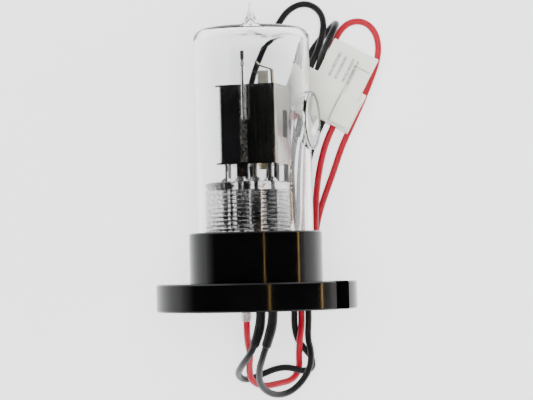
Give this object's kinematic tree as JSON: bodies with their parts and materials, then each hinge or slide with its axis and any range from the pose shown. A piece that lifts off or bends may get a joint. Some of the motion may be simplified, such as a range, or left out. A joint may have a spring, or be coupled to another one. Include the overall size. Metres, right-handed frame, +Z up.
{
  "type": "deuterium arc lamp",
  "caption": "Cylindrical glass arc lamp with a side window and an electrode box, on a round black flange base, lying on its flying leads and plug.",
  "frame": {"origin": "bottom centre of the lamp without its leads and plug: below the middle of its length, where its flange's rim touches the surface", "axes": "+Y along the lamp's axis from the flange to the glass tip, +X to the side its window faces, +Z up"},
  "size_m": [0.059, 0.1028, 0.05],
  "materials": {
    "black_base": "glossy black anodised and polished",
    "cement": "matt white potting cement",
    "lamp_glass": "clear polished",
    "quartz_window": "clear polished fused silica",
    "stem_glass": "clear, dimpled",
    "pin_metal": "drawn wire",
    "crimp_dark": "dark grey, matt",
    "nickel_dark": "dark oxidised nickel sheet",
    "nickel": "rolled nickel sheet",
    "nickel_seam": "spot-welded nickel edge",
    "tungsten": "sintered refractory metal",
    "ceramic_white": "unglazed alumina",
    "coil_oxide": "oxide-coated coil",
    "strap_metal": "heat-tinted nickel strip",
    "wire_black": "extruded insulation, satin",
    "wire_red": "extruded insulation, satin",
    "shrink_black": "shrunk tubing",
    "shrink_clear": "translucent tubing",
    "nylon": "natural nylon, slightly translucent",
    "terminal_tin": "tinned contact"
  },
  "bodies": {
    "root": {"base_flange": "black_base", "potting_plug": "cement", "seat_cement": "cement", "glass_bulb": "lamp_glass", "exhaust_tip": "lamp_glass", "window_neck": "lamp_glass", "window_disc": "quartz_window", "stem_flare": "stem_glass", "stem_pins": "pin_metal", "crimp_sleeves": "crimp_dark", "inner_wires": "pin_metal", "rear_shield": "nickel_dark", "front_shield": "nickel", "focusing_slab": "nickel_seam", "slab_flange": "nickel", "aperture_disc": "tungsten", "top_plate": "nickel", "bottom_plate": "nickel", "ceramic_bar": "ceramic_white", "cathode_coil": "coil_oxide", "cathode_legs": "pin_metal", "anode_plate": "tungsten", "anode_rod": "pin_metal", "anode_insulator": "ceramic_white", "top_strap": "strap_metal", "getter_wire": "pin_metal", "getter_sleeve": "lamp_glass", "getter_bead": "ceramic_white", "getter_tip": "crimp_dark", "nickel_tab": "nickel", "lead_black_a": "wire_black", "lead_black_b": "wire_black", "lead_red": "wire_red", "shrink_black_a": "shrink_black", "shrink_black_b": "shrink_black", "shrink_clear": "shrink_clear", "plug_housing": "nylon", "plug_terminals": "terminal_tin"},
    "latch": {"latch_arm": "nylon"}
  },
  "joints": [
    {"name": "latch_flex", "type": "hinge", "parent": "root", "child": "latch", "pos_m": [0.02455, 0.01505, 0.0102], "axis": [0.8838, -0.4679, 0], "range_deg": [0, 5], "stiffness_Nm_per_rad": 0.02}
  ]
}
